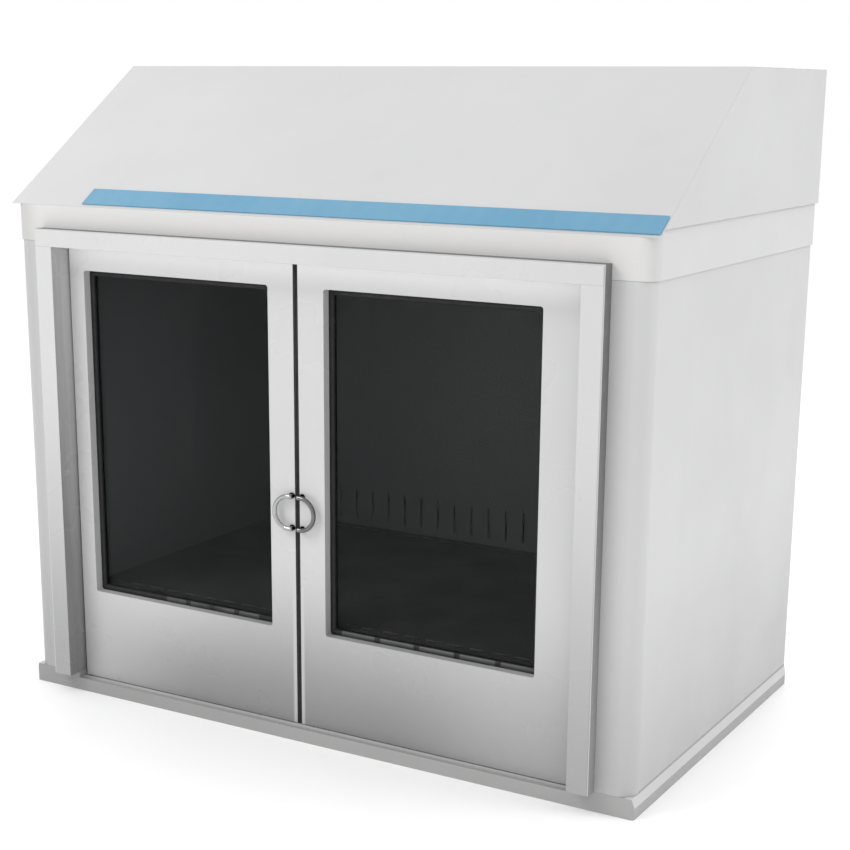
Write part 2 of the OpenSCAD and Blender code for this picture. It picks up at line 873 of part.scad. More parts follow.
// Pivot pins, each on a block inside the leaf
module leaf_pivots(x0) {
    block = 20;
    for (top = [0, 1]) {
        block_z = top == 1 ? leaf_z1 - leaf_wall - block : leaf_z0 + leaf_wall;
        pin_z = top == 1 ? leaf_z1 - leaf_wall - 1 : threshold_h - 14;
        pin_top = top == 1 ? head_z0 + 12 : leaf_z0 + leaf_wall + 1;
        translate([x0 + pivot_in, pivot_y, 0]) union() {
            box([-9.5, -7.5, block_z], [14, 16, block_z + block]);
            translate([0, 0, pin_z]) cylinder(r = pivot_r, h = pin_top - pin_z);
        }
    }
}

module left_leaf() { color("white") place_left() leaf(left_x0); }
module left_leaf_liner() { color("gainsboro") place_left() leaf_liner(left_x0); }
module left_glass() { color("darkslategray", 0.4) place_left() leaf_glass(); }
module left_gasket() { color("black") place_left() leaf_gasket(); }
module left_seals() { color("black") place_left() leaf_seals(left_x0); }
module left_handle() { color("silver") place_left() leaf_handle(); }
module left_pivots() { color("silver") place_left() leaf_pivots(left_x0); }

module right_leaf() { color("white") place_right() leaf(right_x0); }
module right_leaf_liner() { color("gainsboro") place_right() leaf_liner(right_x0); }
module right_glass() { color("darkslategray", 0.4) place_right() leaf_glass(); }
module right_gasket() { color("black") place_right() leaf_gasket(); }
module right_seals() { color("black") place_right() leaf_seals(right_x0); }
module right_handle() { color("silver") place_right() leaf_handle(); }
module right_pivots() { color("silver") place_right() leaf_pivots(right_x0); }

// ---- Assembly ----

plinth();
base_plate();
left_side_panel();
right_side_panel();
header_band();
hood_left_side();
hood_right_side();
hood_roof();
hood_back();
back_panel();
light_diffuser();
light_board();
left_jamb();
right_jamb();
portal_head();
portal_seal();
bulkhead();
centre_mullion();
plant_cover();
chamber_left_wall();
chamber_right_wall();
chamber_back_wall();
chamber_ceiling();
chamber_floor();
hanging_rail();
rail_sockets();
front_uv_lamp();
rear_uv_lamp();
lamp_holders();
lamp_reflectors();
lamp_guards();
ballasts();
control_box();
fan_housing();
fan_motor();
fan_wheel();
filter_cartridge();
exhaust_grille();
service_cover();
cover_screws();
cable_gland();
switch_bezel();
power_rocker();
pivot_bushes();
catch_magnets();
left_leaf();
left_leaf_liner();
left_glass();
left_gasket();
left_seals();
left_handle();
left_pivots();
right_leaf();
right_leaf_liner();
right_glass();
right_gasket();
right_seals();
right_handle();
right_pivots();
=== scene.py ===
"""Ultraviolet garment steriliser cabinet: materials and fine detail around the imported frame, in metres."""

import math

import bmesh
import bpy
from mathutils import Matrix, Vector


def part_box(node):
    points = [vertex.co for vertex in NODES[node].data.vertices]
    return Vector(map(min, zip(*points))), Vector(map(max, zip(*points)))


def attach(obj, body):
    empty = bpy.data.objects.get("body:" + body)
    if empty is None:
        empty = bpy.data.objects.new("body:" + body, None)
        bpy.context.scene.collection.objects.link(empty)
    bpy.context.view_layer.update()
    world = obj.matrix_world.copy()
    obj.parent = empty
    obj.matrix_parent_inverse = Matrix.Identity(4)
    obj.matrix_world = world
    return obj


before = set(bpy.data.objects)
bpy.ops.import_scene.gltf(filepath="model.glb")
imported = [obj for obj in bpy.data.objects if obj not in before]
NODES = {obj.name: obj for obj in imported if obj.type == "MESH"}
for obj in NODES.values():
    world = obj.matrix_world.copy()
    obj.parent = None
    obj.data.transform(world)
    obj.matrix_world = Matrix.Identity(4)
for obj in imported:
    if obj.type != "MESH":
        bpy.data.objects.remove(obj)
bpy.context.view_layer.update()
scene = bpy.context.scene
scene.view_settings.view_transform = "Standard"
scene.view_settings.look = "None"

# Where the doors meet, the height of the handles and the pitch of the light chips
MEETING_X = -0.033
HANDLE_Z = 0.594
CHIP_PITCH = 0.05


# ---- Camera ----
def aimed(yaw, pitch, roll):
    """Rotation of a camera that looks along +Y, turned by yaw, tipped down by pitch and rolled."""
    yaw, pitch, roll = (math.radians(a) for a in (yaw, pitch, roll))
    forward = Vector((-math.sin(yaw) * math.cos(pitch), math.cos(yaw) * math.cos(pitch), -math.sin(pitch)))
    level = Vector((math.cos(yaw), math.sin(yaw), 0.0))
    above = level.cross(forward)
    right = math.cos(roll) * level + math.sin(roll) * above
    up = -math.sin(roll) * level + math.cos(roll) * above
    return Matrix((right, up, -forward)).transposed().to_4x4()


lens = bpy.data.cameras.new("camera")
lens.sensor_width = 36.0
lens.lens = 70.77
lens.shift_y = 0.10
camera = bpy.data.objects.new("camera", lens)
camera.matrix_world = Matrix.Translation((2.252, -3.816, 1.615)) @ aimed(30.14, 14.18, 0.46)
scene.collection.objects.link(camera)
scene.camera = camera


# ---- Light ----
def softbox(name, place, target, size, watts):
    lamp = bpy.data.lights.new(name, "AREA")
    lamp.shape = "DISK"
    lamp.size = size
    lamp.energy = watts
    obj = bpy.data.objects.new(name, lamp)
    obj.location = place
    obj.rotation_euler = (Vector(target) - Vector(place)).to_track_quat("-Z", "Y").to_euler()
    scene.collection.objects.link(obj)


softbox("key", (-2.6, -3.6, 4.4), (0.0, -0.4, 0.9), 2.6, 95.0)
softbox("side", (4.8, 0.6, 3.6), (0.8, 0.0, 0.8), 2.4, 45.0)
softbox("rim", (0.5, 5.0, 4.0), (0.0, 0.3, 1.0), 2.6, 50.0)

world = bpy.data.worlds.new("studio")
world.use_nodes = True
backdrop = world.node_tree.nodes["Background"]
backdrop.inputs["Color"].default_value = (1.0, 1.0, 1.0, 1.0)
backdrop.inputs["Strength"].default_value = 1.0
scene.world = world


# ---- Materials ----
class Finish:
    """One Principled material, driven by procedural nodes in object space."""

    def __init__(self, name, **inputs):
        self.material = bpy.data.materials.new(name)
        self.material.use_nodes = True
        self.tree = self.material.node_tree
        self.shader = self.tree.nodes["Principled BSDF"]
        coords = self.tree.nodes.new("ShaderNodeTexCoord")
        self.place = coords.outputs["Object"]
        self.facing = coords.outputs["Normal"]
        self.relief = None
        for socket, value in inputs.items():
            self.put(socket.replace("_", " "), value)

    def feed(self, socket, value):
        if isinstance(value, bpy.types.NodeSocket):
            self.tree.links.new(value, socket)
        elif socket.type == "RGBA":
            socket.default_value = (*value[:3], 1.0)
        else:
            socket.default_value = value

    def put(self, socket, value):
        self.feed(self.shader.inputs[socket], value)

    def node(self, kind, inputs=(), **settings):
        made = self.tree.nodes.new(kind)
        for key, value in settings.items():
            setattr(made, key, value)
        for key, value in dict(inputs).items():
            self.feed(made.inputs[key], value)
        return made

    def maths(self, operation, a, b=0.0):
        return self.node("ShaderNodeMath", {0: a, 1: b}, operation=operation).outputs[0]

    def times(self, first, *others):
        for other in others:
            first = self.maths("MULTIPLY", first, other)
        return first

    def axis(self, letter, vector=None):
        parts = self.node("ShaderNodeSeparateXYZ", {0: vector or self.place})
        return parts.outputs[letter]

    def span(self, value, low, high, start=0.0, end=1.0):
        """Maps value from low..high to start..end, with soft shoulders."""
        inputs = {"Value": value, "From Min": low, "From Max": high, "To Min": start, "To Max": end}
        return self.node("ShaderNodeMapRange", inputs, interpolation_type="SMOOTHSTEP").outputs[0]

    def noise(self, scale, detail=2.0, stretch=(1.0, 1.0, 1.0), rough=0.5, twist=0.0):
        mapped = self.node("ShaderNodeMapping", {"Vector": self.place, "Scale": stretch}).outputs[0]
        inputs = {"Vector": mapped, "Scale": scale, "Detail": detail}
        inputs.update({"Roughness": rough, "Distortion": twist})
        return self.node("ShaderNodeTexNoise", inputs).outputs["Fac"]

    def blend(self, factor, a, b, mode="MIX"):
        mixed = self.node("ShaderNodeMix", data_type="RGBA", blend_type=mode)
        self.feed(mixed.inputs[0], factor)
        self.feed(mixed.inputs[6], a)
        self.feed(mixed.inputs[7], b)
        return mixed.outputs[2]

    def emboss(self, height, depth):
        inputs = {"Height": height, "Distance": depth, "Strength": 1.0}
        if self.relief:
            inputs["Normal"] = self.relief
        self.relief = self.node("ShaderNodeBump", inputs).outputs[0]
        self.put("Normal", self.relief)


def grey(value):
    return (value, value, value)


def enamel(name, tone, rough=0.36, foot=0.80, fade=0.62, peel=1.0, shade=None):
    """Sprayed and baked enamel: orange peel, faint clouds and streaks, painted shade darker towards the
    foot, dust and rubs near the floor.
    """
    f = Finish(name, Metallic=0.0, IOR=1.5)
    height = f.axis("Z")
    clouds = f.span(f.noise(1.7, 3.0), 0.3, 0.7)
    colour = f.blend(clouds, [c * 0.975 for c in tone], [c * 1.015 for c in tone])
    streaks = f.span(f.noise(14.0, 2.0, (1.0, 1.0, 0.05)), 0.45, 0.8, 0.0, 0.05)
    colour = f.blend(streaks, colour, [c * 0.7 for c in tone])
    # Painted shade: the colour is multiplied down to foot at the floor and eases back to full by the height
    # fade.
    colour = f.blend(f.span(height, 0.0, fade, 1.0, 0.0), colour, grey(foot), "MULTIPLY")
    dust = f.span(f.noise(26.0, 5.0, rough=0.65), 0.3, 0.75)
    settled = f.times(dust, f.span(height, 0.0, 0.15, 0.22, 0.0))
    colour = f.blend(settled, colour, (0.36, 0.35, 0.33))
    rubs = f.span(f.noise(9.0, 4.0, (5.0, 5.0, 60.0)), 0.60, 0.74, 0.0, 0.22)
    scuffs = f.times(rubs, f.span(height, 0.03, 0.26, 1.0, 0.1))
    colour = f.blend(scuffs, colour, grey(0.34))
    if shade:
        colour = shade(f, colour)
    f.put("Base Color", colour)
    gloss = f.span(f.noise(5.0, 3.0), 0.3, 0.7, rough - 0.05, rough + 0.06)
    f.put("Roughness", f.maths("ADD", gloss, f.times(f.maths("ADD", settled, scuffs), 0.6)))
    f.emboss(f.noise(2.6, 1.0), 0.0010 * peel)
    f.emboss(f.noise(330.0, 2.0), 0.00004 * peel)
    return f


def body_shade(f, colour):
    """Painted shade: greyer towards the left-hand front corner."""
    return f.blend(f.span(f.axis("X"), -0.90, -0.80, 0.36, 0.0), colour, grey(0.12))


def band_shade(f, colour):
    """Painted light: the header's front face is a touch lighter than its sides, with the painted shade of
    body_shade on top.
    """
    colour = f.blend(f.span(f.axis("Y", f.facing), -0.95, -0.6, 1.0, 0.0), colour, (0.610, 0.605, 0.599))
    return body_shade(f, colour)


def door_shade(f, colour):
    """Painted shade graduated grey towards the foot, deepest right of the middle; a painted highlight along
    the edges where the doors meet.
    """
    height = f.axis("Z")
    across = f.axis("X")
    # Painted shade: a grey graduated towards the foot, reaching higher on the right.
    level = f.maths("ADD", height, f.times(f.noise(2.4, 2.0), 0.05))
    reach = f.span(across, -0.7, 0.1, 0.39, 0.54)
    fade = f.span(level, 0.06, reach, 1.0, 0.0)
    depth = f.times(f.span(across, -0.78, -0.30, 0.30, 0.85), f.span(across, 0.20, 0.60, 1.0, 0.66))
    from_middle = f.maths("ABSOLUTE", f.maths("SUBTRACT", across, MEETING_X))
    # Painted highlight: the painted shade is held back along the edges where the doors meet.
    meeting_highlight = f.span(from_middle, 0.013, 0.020, 0.25, 1.0)
    colour = f.blend(f.times(fade, depth, meeting_highlight), colour, (0.175, 0.178, 0.175))
    # Painted light: the top rail under the head is lightened where the head's shade falls.
    colour = f.blend(f.span(height, 1.140, 1.205), colour, grey(0.86))
    touch = f.span(f.noise(60.0, 4.0, rough=0.7), 0.52, 0.7, 0.0, 0.10)
    near_x = f.span(from_middle, 0.02, 0.09, 1.0, 0.0)
    near_z = f.span(f.maths("ABSOLUTE", f.maths("SUBTRACT", height, HANDLE_Z)), 0.05, 0.17, 1.0, 0.0)
    return f.blend(f.times(touch, near_x, near_z), colour, (0.45, 0.44, 0.42))


def reveal_shade(f, colour):
    """Painted shade on the portal's inner cheeks: grey, deeper in tone towards the foot, with a streaky
    grain.
    """
    inward = f.times(f.axis("X", f.facing), f.maths("SIGN", f.axis("X")))
    cheek = f.span(inward, -0.9, -0.6, 1.0, 0.0)
    # Painted shade: the cheeks' grey, darker towards the foot.
    facing = f.blend(f.span(f.axis("Z"), 0.05, 1.15), grey(0.225), grey(0.52))
    grain = f.span(f.noise(70.0, 3.0, (1.0, 1.0, 0.04)), 0.3, 0.7, 0.0, 0.35)
    return f.blend(cheek, colour, f.blend(grain, facing, grey(0.62), "MULTIPLY"))


def plinth_shade(f, colour):
    """Painted light and shade: a painted highlight on the bevels beside the body, the sill top painted
    darker at its front and lighter under the doors, and painted shade on the left end of the front.
    """
    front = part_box("plinth")[0].y
    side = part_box("right_side_panel")[1].x
    upward = f.axis("Z", f.facing)
    beside = f.span(f.maths("ABSOLUTE", f.axis("X")), side - 0.020, side - 0.015)
    # Painted shade: the left end of the front is greyed.
    colour = f.blend(f.span(f.axis("X"), -0.9, 0.5, 0.36, 0.0), colour, grey(0.18))
    # Painted highlight: up-facing bevels beside the body are lightened.
    colour = f.blend(f.times(f.span(upward, 0.10, 0.22), beside), colour, grey(0.53))
    # Painted shade and light: the up-facing sill is darker at its front edge and lighter further in, under
    # the doors.
    sill = f.blend(f.span(f.axis("Y"), front + 0.005, front + 0.027), grey(0.32), grey(0.56))
    inside = f.maths("SUBTRACT", 1.0, beside)
    return f.blend(f.times(f.span(upward, 0.5, 0.9), inside), colour, sill)


def lining_shade(f, colour):
    """Painted shade: faces that look up are darkened, with a mottle."""
    shade_mottle = f.span(f.noise(8.0, 4.0), 0.3, 0.7, 0.75, 1.0)
    # Painted shade on up-facing faces.
    return f.blend(f.times(f.span(f.axis("Z", f.facing), 0.5, 0.9), shade_mottle), colour, grey(0.032))


def rubber(name, tone, worn=1.6, foot=1.0, front=None):
    """Matt rubber; the edge that faces the front can wear its own tone, and a foot above 1 is painted light,
    lighter towards the bottom.
    """
    f = Finish(name, Metallic=0.0)
    bloom = f.span(f.noise(32.0, 5.0, rough=0.65), 0.42, 0.75)
    colour = f.blend(f.times(bloom, 0.5), tone, [min(c * worn + 0.012, 1.0) for c in tone])
    # Painted light where foot is not 1: the bottom takes the tone times foot, graded to the plain tone
    # higher up.
    colour = f.blend(f.span(f.axis("Z"), 0.1, 1.1), [c * foot for c in tone], colour)
    if front:
        colour = f.blend(f.span(f.axis("Y", f.facing), -0.95, -0.8, 1.0, 0.0), colour, front)
    f.put("Base Color", colour)
    f.put("Roughness", f.span(f.noise(90.0, 3.0), 0.3, 0.7, 0.55, 0.74))
    f.put("Specular IOR Level", 0.35)
    f.emboss(f.noise(900.0, 2.0), 0.00008)
    f.emboss(f.noise(24.0, 2.0, (1.0, 1.0, 3.0)), 0.0004)
    return f


def brushed(name, tone, rough=0.32, along=(0.03, 1.0, 1.0), stain=0.25):
    """Rolled, turned or brushed metal: fine grain along one axis, faint stains and wipe marks."""
    f = Finish(name, Metallic=1.0)
    grain = f.noise(620.0, 3.0, along)
    coarse = f.noise(45.0, 3.0, along)
    colour = f.blend(f.span(grain, 0.3, 0.7), [c * 0.86 for c in tone], [min(c * 1.1, 1.0) for c in tone])
    blots = f.span(f.noise(7.0, 5.0, rough=0.6), 0.52, 0.78, 0.0, stain)
    f.put("Base Color", f.blend(blots, colour, [c * 0.55 for c in tone]))
    sheen = f.span(coarse, 0.25, 0.75, rough - 0.07, rough + 0.09)
    f.put("Roughness", f.maths("ADD", sheen, f.times(blots, 0.3)))
    f.emboss(grain, 0.00005)
    f.emboss(f.noise(3.0, 1.0), 0.0008)
    return f


def chrome(name):
    """Dark chrome bows, the left painted lighter and the right painted darker as painted reflection, on
    blackened feet, with finger smears.
    """
    f = Finish(name, Metallic=1.0)
    leaf_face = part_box("left_handle")[1].y
    smear = f.span(f.noise(70.0, 4.0, rough=0.65), 0.5, 0.8)
    # Painted reflection: the left bow lighter, the right darker.
    side = f.span(f.axis("X"), MEETING_X - 0.017, MEETING_X + 0.023)
    bow = f.blend(side, (0.42, 0.42, 0.43), (0.17, 0.17, 0.175))
    foot = f.span(f.axis("Y"), leaf_face - 0.0115, leaf_face - 0.0085)
    colour = f.blend(foot, bow, (0.035, 0.035, 0.037))
    f.put("Base Color", f.blend(f.times(smear, 0.25), colour, (0.24, 0.24, 0.245)))
    f.put("Roughness", f.span(smear, 0.0, 1.0, 0.10, 0.26))
    f.emboss(f.noise(55.0, 1.0), 0.00012)
    return f


def moulding(name, tone, rough=0.42, grit=1.0):
    f = Finish(name, Metallic=0.0)
    cloud = f.span(f.noise(18.0, 4.0), 0.35, 0.7)
    worn = [min(c * 1.1 + 0.004, 1.0) for c in tone]
    f.put("Base Color", f.blend(cloud, [c * 0.88 for c in tone], worn))
    f.put("Roughness", f.span(f.noise(60.0, 3.0), 0.3, 0.7, rough - 0.06, rough + 0.1))
    f.emboss(f.noise(1100.0, 2.0), 0.00005 * grit)
    return f


def window_glass(name):
    """Grey-tinted toughened glass with a trace of dust and wiping marks."""
    f = Finish(name, Metallic=0.0, IOR=1.5)
    wipe = f.span(f.noise(4.0, 4.0, (1.0, 1.0, 0.3), 0.6, 1.0), 0.5, 0.8)
    f.put("Base Color", f.blend(f.times(wipe, 0.35), (0.004, 0.005, 0.0055), (0.030, 0.031, 0.032)))
    f.put("Alpha", f.span(wipe, 0.0, 1.0, 0.20, 0.235))
    f.put("Roughness", f.span(wipe, 0.0, 1.0, 0.02, 0.07))
    f.put("Specular IOR Level", 0.28)
    return f


def lamp_glass(name):
    """Quartz tube with an aluminium cap at each end and a frosted patch by each electrode."""
    f = Finish(name, IOR=1.46)
    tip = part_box("front_uv_lamp")[1].x
    out = f.maths("ABSOLUTE", f.axis("X"))
    cap = f.span(out, tip - 0.0187, tip - 0.0177)
    haze = f.span(out, tip - 0.0775, tip - 0.0195, 0.0, 0.55)
    mottled = f.times(haze, f.noise(160.0, 3.0))
    tube = f.blend(mottled, (0.80, 0.83, 0.90), (0.30, 0.28, 0.27))
    metal = f.blend(f.span(f.noise(300.0, 2.0, (0.1, 1.0, 1.0)), 0.3, 0.7), grey(0.55), grey(0.75))
    f.put("Base Color", f.blend(cap, tube, metal))
    f.put("Metallic", cap)
    f.put("Transmission Weight", f.times(f.maths("SUBTRACT", 1.0, cap), 0.55))
    f.put("Roughness", f.span(f.maths("ADD", cap, mottled), 0.0, 1.0, 0.10, 0.30))
    f.emboss(f.noise(40.0, 1.0), 0.0001)
    return f


def diffuser(name):
    """Light blue acrylic, lit a little unevenly by the row of lamps on the board behind it."""
    f = Finish(name, IOR=1.49, Metallic=0.0)
    beat = f.maths("SINE", f.times(f.axis("X"), 2.0 * math.pi / CHIP_PITCH))
    glow = f.maths("ADD", f.times(beat, 0.03), f.noise(3.0, 2.0))
    colour = f.blend(f.span(glow, 0.2, 0.8), (0.092, 0.262, 0.408), (0.130, 0.305, 0.430))
    f.put("Base Color", colour)
    f.put("Emission Color", colour)
    f.put("Emission Strength", 0.06)
    f.put("Roughness", f.span(f.noise(20.0, 3.0), 0.3, 0.7, 0.30, 0.42))
    f.put("Subsurface Weight", 0.15)
    f.put("Subsurface Radius", (0.002, 0.003, 0.004))
    f.emboss(f.noise(700.0, 2.0), 0.00005)
    return f


def board(name):
    """White board with a row of small yellow light chips."""
    f = Finish(name, Metallic=0.0)
    along = f.maths("FRACT", f.times(f.axis("X"), 1.0 / CHIP_PITCH))
    cell = f.maths("ABSOLUTE", f.maths("SUBTRACT", along, 0.5))
    chip = f.span(cell, 0.035, 0.05, 1.0, 0.0)
    ground = f.blend(f.noise(30.0, 3.0), (0.70, 0.72, 0.72), (0.80, 0.81, 0.80))
    f.put("Base Color", f.blend(chip, ground, (0.85, 0.72, 0.22)))
    f.put("Roughness", f.span(f.noise(80.0, 2.0), 0.3, 0.7, 0.4, 0.55))
    f.emboss(chip, 0.0006)
    return f


def pleats(name):
    """Carbon filter media: fine upright pleats with a fibrous surface."""
    f = Finish(name, Metallic=0.0)
    wave = f.maths("SINE", f.times(f.axis("X"), 2.0 * math.pi / 0.0056))
    fibre = f.noise(900.0, 4.0, rough=0.7)
    f.put("Base Color", f.blend(fibre, (0.030, 0.034, 0.038), (0.16, 0.17, 0.18)))
    f.put("Roughness", f.span(fibre, 0.3, 0.7, 0.8, 0.95))
    f.put("Sheen Weight", 0.2)
    f.emboss(wave, 0.0010)
    f.emboss(fibre, 0.0002)
    return f


def paving(name):
    f = Finish(name, Metallic=0.0)
    f.put("Base Color", f.blend(f.span(f.noise(0.7, 3.0), 0.3, 0.7), grey(0.955), grey(0.968)))
    f.put("Emission Color", grey(1.0))
    f.put("Emission Strength", 0.05)
    f.put("Roughness", f.span(f.noise(6.0, 3.0), 0.3, 0.7, 0.70, 0.80))
    f.emboss(f.noise(240.0, 2.0), 0.0001)
    return f


body_coat = enamel("body_enamel", (0.520, 0.520, 0.523), shade=body_shade)
roof_coat = enamel("roof_enamel", (0.532, 0.532, 0.535))
band_coat = enamel("band_enamel", (0.550, 0.550, 0.552), shade=band_shade)
portal_tone = (0.565, 0.565, 0.567)
portal_coat = enamel("portal_enamel", portal_tone, 0.30, foot=0.58, fade=0.95, peel=0.7, shade=reveal_shade)
door_coat = enamel("door_enamel", (0.558, 0.558, 0.560), 0.30, foot=0.92, peel=0.7, shade=door_shade)
plinth_coat = enamel("plinth_enamel", (0.347, 0.349, 0.349), rough=0.42, foot=0.95, shade=plinth_shade)
lining = enamel("dark_lining", (0.140, 0.143, 0.146), rough=0.45, foot=1.0, peel=0.6, shade=lining_shade)
machine_coat = enamel("machine_grey", (0.20, 0.205, 0.215), rough=0.45, foot=1.0, peel=1.4)
black_rubber = rubber("black_rubber", (0.012, 0.012, 0.0125))
edge_rubber = rubber("edge_rubber", (0.011, 0.011, 0.0113))
# Painted shade: this grey on the portal's surround stands for the shade on the portal's outer sides, painted
# lighter towards the foot; its front edge takes the portal's white.
grey_rubber = rubber("grey_rubber", (0.150, 0.150, 0.152), worn=1.2, foot=1.80, front=grey(0.54))
floor_steel = brushed("floor_steel", (0.50, 0.51, 0.52))
lip_metal = brushed("lip_metal", (0.105, 0.106, 0.107), rough=0.55, stain=0.6)
sealant = rubber("grey_sealant", (0.33, 0.33, 0.332), worn=1.15)
pin_steel = brushed("pin_steel", (0.56, 0.56, 0.57), rough=0.25, along=(1.0, 1.0, 12.0), stain=0.15)
bright_sheet = brushed("bright_sheet", (0.80, 0.81, 0.82), rough=0.14, stain=0.1)
bronze = brushed("bronze", (0.50, 0.33, 0.14), rough=0.30, along=(1.0, 1.0, 12.0), stain=0.4)
polished = chrome("chrome")
black_moulding = moulding("black_moulding", (0.022, 0.022, 0.024))
red_moulding = moulding("red_moulding", (0.42, 0.022, 0.018), rough=0.25, grit=0.3)
white_moulding = moulding("white_moulding", (0.66, 0.66, 0.65), rough=0.35)

FINISHES = {
    body_coat: "left_side_panel right_side_panel hood_left_side hood_right_side hood_back back_panel "
    "service_cover",
    roof_coat: "hood_roof",
    band_coat: "header_band",
    portal_coat: "left_jamb right_jamb portal_head",
    door_coat: "left_leaf right_leaf",
    plinth_coat: "plinth base_plate",
    lining: "bulkhead centre_mullion plant_cover chamber_left_wall chamber_right_wall chamber_back_wall "
    "chamber_ceiling chamber_floor left_leaf_liner right_leaf_liner",
    machine_coat: "ballasts control_box fan_housing fan_motor",
    black_rubber: "left_gasket right_gasket",
    edge_rubber: "left_seals right_seals",
    grey_rubber: "portal_seal",
    floor_steel: "lamp_guards hanging_rail rail_sockets cover_screws",
    pin_steel: "left_pivots right_pivots",
    bright_sheet: "lamp_reflectors",
    bronze: "pivot_bushes",
    polished: "left_handle right_handle",
    black_moulding: "cable_gland switch_bezel catch_magnets exhaust_grille fan_wheel",
    red_moulding: "power_rocker",
    white_moulding: "lamp_holders",
    diffuser("blue_diffuser"): "light_diffuser",
    board("light_board"): "light_board",
    window_glass("window_glass"): "left_glass right_glass",
    lamp_glass("lamp_glass"): "front_uv_lamp rear_uv_lamp",
    pleats("filter_media"): "filter_cartridge",
}
for finish, names in FINISHES.items():
    for name in names.split():
        slots = NODES[name].data.materials
        if not slots:
            slots.append(finish.material)
        for i in range(len(slots)):
            slots[i] = finish.material


# ---- Softened edges on the sheet-metal nodes ----
def soften(name, width, steps=2, angle=40.0):
    """Joins the facets of a CAD node, rounds its sharp edges and evens out its shading."""
    obj = NODES[name]
    weld = obj.modifiers.new("weld", "WELD")
    weld.merge_threshold = 0.00001
    bevel = obj.modifiers.new("bevel", "BEVEL")
    bevel.width = width
    bevel.segments = steps
    bevel.limit_method = "ANGLE"
    bevel.angle_limit = math.radians(angle)
    bevel.use_clamp_overlap = True
    shading = obj.modifiers.new("shading", "WEIGHTED_NORMAL")
    shading.keep_sharp = True


for name in "left_leaf right_leaf left_jamb right_jamb portal_head plinth".split():
    soften(name, 0.0009)
for name in "header_band left_side_panel right_side_panel hood_roof hood_left_side hood_right_side".split():
    soften(name, 0.0006)
for name in "light_diffuser switch_bezel exhaust_grille catch_magnets".split():
    soften(name, 0.0008)
for name in "ballasts control_box lamp_holders".split():
    soften(name, 0.0008)


# ---- Shared mesh tools ----
X, Y, Z = Vector((1, 0, 0)), Vector((0, 1, 0)), Vector((0, 0, 1))


def piece(name, mesh, finish, body):
    """Turns a bmesh into a piece that rides on a body."""
    data = bpy.data.meshes.new(name)
    bmesh.ops.recalc_face_normals(mesh, faces=mesh.faces)
    mesh.to_mesh(data)
    mesh.free()
    data.materials.append(finish.material)
    data.shade_smooth()
    data.set_sharp_from_angle(angle=math.radians(38.0))
    obj = bpy.data.objects.new(name, data)
    scene.collection.objects.link(obj)
    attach(obj, body)
    return obj


def ring_faces(mesh, rings, closed):
    """Skins a run of vertex rings, each ring a closed profile; an open run gets end caps."""
    pairs = list(zip(rings, rings[1:])) + ([(rings[-1], rings[0])] if closed else [])
    for first, second in pairs:
        count = len(first)
        for j in range(count):
            k = (j + 1) % count
            mesh.faces.new((first[j], first[k], second[k], second[j]))
    if not closed:
        mesh.faces.new(rings[0][::-1])
        mesh.faces.new(rings[-1])


def sweep(mesh, path, profile, closed):
    """Sweeps a profile of (out, up) pairs along a path of (point, out, up) frames."""
    rings = [[mesh.verts.new(point + out * a + up * b) for a, b in profile] for point, out, up in path]
    ring_faces(mesh, rings, closed)


def round_loop(x0, z0, x1, z1, y, r, steps=8):
    """Frames round a rectangle with round corners that faces -Y."""
    frames = []
    corners = ((x1 - r, z1 - r, 0), (x0 + r, z1 - r, 90), (x0 + r, z0 + r, 180), (x1 - r, z0 + r, 270))
    for cx, cz, start in corners:
        for i in range(steps + 1):
            turn = math.radians(start + 90.0 * i / steps)
            out = Vector((math.cos(turn), 0.0, math.sin(turn)))
            frames.append((Vector((cx, y, cz)) + out * r, out, Vector((0.0, -1.0, 0.0))))
    return frames


def half_round(width, rise, steps=8):
    """Profile of a flat-backed bead."""
    arc = [(math.cos(math.pi * i / steps), math.sin(math.pi * i / steps)) for i in range(steps + 1)]
    return [(0.5 * width * c, rise * s) for c, s in arc]


# ---- Rubber beads in front of the window glass, with dull metal clips along the sill ----
BEAD_INSET = 0.0175
CLIP_GAP = 0.016
# For each door: how far in the first clip starts, the clips' pitch and their number
for side, first, pitch, count in (("left", 0.235, 0.079, 4), ("right", 0.045, 0.112, 5)):
    low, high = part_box(side + "_gasket")
    lip = bmesh.new()
    x0, x1 = low.x + BEAD_INSET, high.x - BEAD_INSET
    z0, z1 = low.z + BEAD_INSET, high.z - BEAD_INSET
    sweep(lip, round_loop(x0, z0, x1, z1, low.y, 0.004), half_round(0.013, 0.0035), closed=True)
    piece(side + "_glazing_bead", lip, black_rubber, side + "_door")
    clips = bmesh.new()
    for i in range(count):
        start = low.x + first + pitch * i
        ends = [Vector((start + reach, low.y, z0)) for reach in (0.0, pitch - CLIP_GAP)]
        sweep(clips, [(end, Z, -Y) for end in ends], half_round(0.0142, 0.0042), closed=False)
    piece(side + "_sill_clips", clips, lip_metal, side + "_door")


# ---- Pressed louvre lips ----
def louvres(name, spots, length, reach, rise, out, up, finish):
    """A pressed lip over each slot: it springs from the far edge, curls over and fades at both ends."""
    mesh = bmesh.new()
    along = out.cross(up)
    for spot in spots:
        rows = []
        for i in range(13):
            t = i / 12.0
            swell = min(1.0, math.sin(math.pi * t) * 2.2) ** 0.7 if 0.0 < t < 1.0 else 0.0
            row = []
            for j in range(6):
                a = 0.5 * math.pi * j / 5.0
                offset = along * (length * (t - 0.5)) + up * (reach * (0.5 - math.sin(a) * swell))
                lift = rise * (1.0 - math.cos(a)) * swell + 0.0001
                row.append(mesh.verts.new(spot + offset + out * lift))
            rows.append(row)
        for first, second in zip(rows, rows[1:]):
            for j in range(5):
                mesh.faces.new((first[j], first[j + 1], second[j + 1], second[j]))
    obj = piece(name, mesh, finish, "cabinet")
    sheet = obj.modifiers.new("sheet", "SOLIDIFY")
    sheet.thickness = 0.0008
    sheet.offset = 1.0


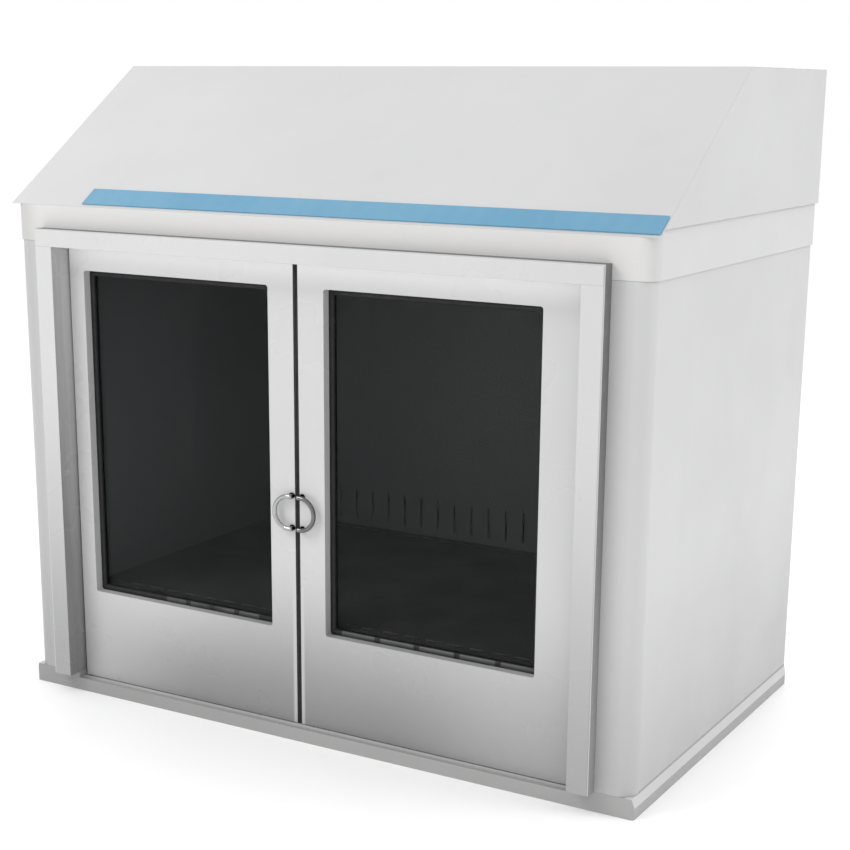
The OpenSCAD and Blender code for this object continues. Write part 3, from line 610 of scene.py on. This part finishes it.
low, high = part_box("chamber_floor")
lip_rows = (low.y + 0.0375, high.y - 0.040)
floor_spots = [Vector((0.062 * i, y, high.z)) for y in lip_rows for i in range(-11, 12)]
louvres("floor_lips", floor_spots, 0.046, 0.009, 0.006, Z, Y, lining)
low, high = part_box("service_cover")
rows = [low.z + 0.060 + 0.016 * k for k in range(4)]
cover_spots = [Vector((0.052 * i, high.y, z)) for i in range(-4, 5) for z in rows]
louvres("service_louvres", cover_spots, 0.037, 0.007, 0.005, Y, Z, body_coat)
low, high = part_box("plant_cover")
rows = [low.z + 0.087 + 0.018 * k for k in range(5)]
plant_spots = [Vector((MEETING_X + 0.09 * i, low.y, z)) for i in range(-3, 4) for z in rows]
louvres("plant_louvres", plant_spots, 0.061, 0.007, 0.004, -Y, Z, lining)


# ---- Sealant along the foot of the sides ----
low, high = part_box("right_side_panel")
seam = bmesh.new()
turns = [0.5 * math.pi * i / 5 for i in range(6)]
quarter = [(0.0, 0.0)] + [(0.0010 * math.cos(a), 0.0055 * math.sin(a)) for a in turns]
for sign in (-1.0, 1.0):
    ends = [Vector((sign * high.x, y, low.z)) for y in (low.y + 0.042, high.y - 0.001)]
    sweep(seam, [(end, X * sign, Z) for end in ends], quarter, closed=False)
piece("foot_sealant", seam, sealant, "cabinet")


# ---- Cross-recess screws ----
def screws(name, spots, out, radius):
    """Low domed heads with a pressed cross."""
    mesh = bmesh.new()
    first = out.orthogonal().normalized()
    second = out.cross(first)
    radii = (0.10, 0.20, 0.30, 0.42, 0.52, 0.58, 0.70, 0.84, 0.95, 1.0, 1.0)
    for spot in spots:
        rings = []
        for index, share in enumerate(radii):
            ring = []
            for i in range(32):
                turn = 2.0 * math.pi * i / 32
                a, b = share * math.cos(turn), share * math.sin(turn)
                rise = 0.46 * math.sqrt(1.0 - 0.82 * share * share) if index < len(radii) - 1 else 0.0
                if min(abs(a), abs(b)) < 0.13 and max(abs(a), abs(b)) < 0.55:
                    rise -= 0.26
                ring.append(mesh.verts.new(spot + (first * a + second * b + out * rise) * radius))
            rings.append(ring)
        ring_faces(mesh, rings, closed=False)
    piece(name, mesh, floor_steel, "cabinet")


low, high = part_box("exhaust_grille")
rows = (low.z + 0.010, high.z - 0.010)
spots = [Vector((x, high.y, z)) for x in (low.x + 0.010, high.x - 0.010) for z in rows]
screws("grille_screws", spots, Y, 0.0045)
low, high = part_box("plant_cover")
rows = (low.z + 0.030, high.z - 0.014)
columns = (low.x + 0.019, MEETING_X - 0.342, MEETING_X + 0.342, high.x - 0.019)
spots = [Vector((x, low.y, z)) for x in columns for z in rows]
screws("plant_screws", spots, -Y, 0.0045)
low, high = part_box("rail_sockets")
middle = 0.5 * (low + high)
turns = [math.radians(a) for a in (90.0, 210.0, 330.0)]
offsets = [Vector((0.0, 0.0225 * math.cos(a), 0.0225 * math.sin(a))) for a in turns]
for side, flange_x, sign in (("left", low.x + 0.003, 1.0), ("right", high.x - 0.003, -1.0)):
    centre = Vector((flange_x, middle.y, middle.z))
    screws(side + "_socket_screws", [centre + offset for offset in offsets], X * sign, 0.0038)


# ---- Studio floor ----
floor_mesh = bmesh.new()
bmesh.ops.create_grid(floor_mesh, x_segments=8, y_segments=8, size=60.0)
floor_data = bpy.data.meshes.new("studio_floor")
floor_mesh.to_mesh(floor_data)
floor_mesh.free()
floor_data.materials.append(paving("studio_floor").material)
studio_floor = bpy.data.objects.new("studio_floor", floor_data)
scene.collection.objects.link(studio_floor)
